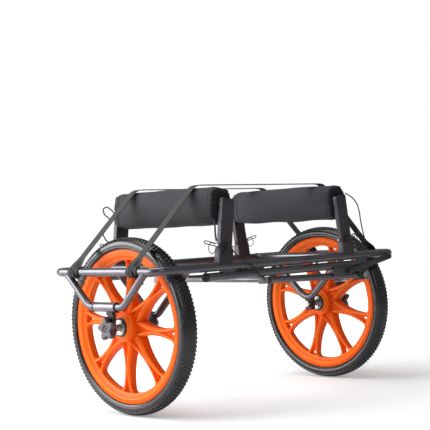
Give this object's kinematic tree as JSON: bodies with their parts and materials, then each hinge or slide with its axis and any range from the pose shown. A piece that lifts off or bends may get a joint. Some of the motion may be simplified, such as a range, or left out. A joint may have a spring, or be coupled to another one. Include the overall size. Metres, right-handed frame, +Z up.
{
  "type": "kayak cart",
  "caption": "Wheeled cart for moving a kayak: bent tube frame, padded bunks on leaning posts with pull pins, spoked orange wheels, folding stand and tie-down straps.",
  "frame": {"origin": "on the ground, midway between the two tyres, under the middle of the axle line", "axes": "+X along the axle line towards the wheel by the stand pivots, +Y along the way it rolls, +Z up"},
  "size_m": [0.8434, 0.4, 0.5079],
  "materials": {
    "frame_tube": "glossy black powder coat on aluminium tube and strip",
    "sleeve_tube": "dark grey satin metal",
    "black_plastic": "moulded black plastic, slightly rough",
    "grey_plastic": "moulded grey plastic",
    "wheel_orange": "moulded orange plastic with a soft gloss",
    "tyre_black": "black tyre rubber with a knobbed tread",
    "zinc": "bright zinc plated steel",
    "pad_cover": "woven nylon cover over foam",
    "webbing": "woven polyester webbing",
    "cord_black": "thin braided cord"
  },
  "bodies": {
    "frame": {"upper_loop": "frame_tube", "lower_rail_near": "frame_tube", "lower_rail_far": "frame_tube", "rail_plug_near_left": "black_plastic", "rail_plug_near_right": "black_plastic", "rail_plug_far_left": "black_plastic", "rail_plug_far_right": "black_plastic", "stand_bracket_near": "frame_tube", "stand_bracket_far": "frame_tube", "stand_stay_near": "frame_tube", "stand_stay_far": "frame_tube", "stand_pivot_pin_near": "zinc", "stand_pivot_pin_far": "zinc", "inner_arch_left": "frame_tube", "inner_arch_right": "frame_tube", "outer_arch_left": "frame_tube", "outer_arch_right": "frame_tube", "arch_sleeve_left": "sleeve_tube", "arch_sleeve_right": "sleeve_tube", "outer_dropout_left": "black_plastic", "outer_dropout_right": "black_plastic", "inner_dropout_left": "black_plastic", "inner_dropout_right": "black_plastic", "axle_bolt_left": "zinc", "axle_bolt_right": "zinc", "socket_near_left": "frame_tube", "socket_near_right": "frame_tube", "socket_far_left": "frame_tube", "socket_far_right": "frame_tube", "tie_strap_near": "webbing", "tie_strap_far": "webbing", "stand_cord": "cord_black"},
    "stand": {"stand_leg_near": "frame_tube", "stand_leg_far": "frame_tube", "stand_foot_bar": "sleeve_tube", "stand_corner_near": "grey_plastic", "stand_corner_far": "grey_plastic"},
    "wheel_left": {"rim_left": "wheel_orange", "tyre_left": "tyre_black", "hub_left": "zinc"},
    "knob_left": {"axle_knob_left": "black_plastic"},
    "bunk_left": {"post_near_left": "frame_tube", "post_far_left": "frame_tube", "bunk_bar_left": "frame_tube", "pad_left": "pad_cover", "drawstring_far_left": "cord_black", "drawstring_near_left": "cord_black"},
    "pin_near_left": {"hitch_pin_near_left": "zinc"},
    "pin_far_left": {"hitch_pin_far_left": "zinc"},
    "wheel_right": {"rim_right": "wheel_orange", "tyre_right": "tyre_black", "hub_right": "zinc"},
    "knob_right": {"axle_knob_right": "black_plastic"},
    "bunk_right": {"post_near_right": "frame_tube", "post_far_right": "frame_tube", "bunk_bar_right": "frame_tube", "pad_right": "pad_cover", "drawstring_near_right": "cord_black"},
    "pin_near_right": {"hitch_pin_near_right": "zinc"},
    "pin_far_right": {"hitch_pin_far_right": "zinc"}
  },
  "joints": [
    {"name": "stand_hinge", "type": "hinge", "parent": "frame", "child": "stand", "pos_m": [0.267, 0, 0.276], "axis": [0, -1, 0], "range_deg": [0, 48], "deforming": ["stand_cord"]},
    {"name": "wheel_left_spin", "type": "hinge", "parent": "frame", "child": "wheel_left", "pos_m": [-0.3395, 0, 0.2], "axis": [1, 0, 0], "continuous": true},
    {"name": "knob_left_turn", "type": "hinge", "parent": "frame", "child": "knob_left", "pos_m": [-0.409, 0, 0.2], "axis": [1, 0, 0], "range_deg": [0, 720]},
    {"name": "bunk_left_lift", "type": "slide", "parent": "frame", "child": "bunk_left", "axis": [0.1392, 0, 0.9903], "range_m": [0, 0.075], "deforming": ["tie_strap_near", "tie_strap_far"]},
    {"name": "pin_near_left_pull", "type": "slide", "parent": "bunk_left", "child": "pin_near_left", "axis": [-0.9903, 0, 0.1392], "range_m": [0, 0.06]},
    {"name": "pin_far_left_pull", "type": "slide", "parent": "bunk_left", "child": "pin_far_left", "axis": [-0.9903, 0, 0.1392], "range_m": [0, 0.06]},
    {"name": "wheel_right_spin", "type": "hinge", "parent": "frame", "child": "wheel_right", "pos_m": [0.3395, 0, 0.2], "axis": [1, 0, 0], "continuous": true},
    {"name": "knob_right_turn", "type": "hinge", "parent": "frame", "child": "knob_right", "pos_m": [0.409, 0, 0.2], "axis": [1, 0, 0], "range_deg": [0, 720]},
    {"name": "bunk_right_lift", "type": "slide", "parent": "frame", "child": "bunk_right", "axis": [-0.1392, 0, 0.9903], "range_m": [0, 0.075], "deforming": ["tie_strap_near", "tie_strap_far"]},
    {"name": "pin_near_right_pull", "type": "slide", "parent": "bunk_right", "child": "pin_near_right", "axis": [0.9903, 0, 0.1392], "range_m": [0, 0.06]},
    {"name": "pin_far_right_pull", "type": "slide", "parent": "bunk_right", "child": "pin_far_right", "axis": [0.9903, 0, 0.1392], "range_m": [0, 0.06]}
  ]
}
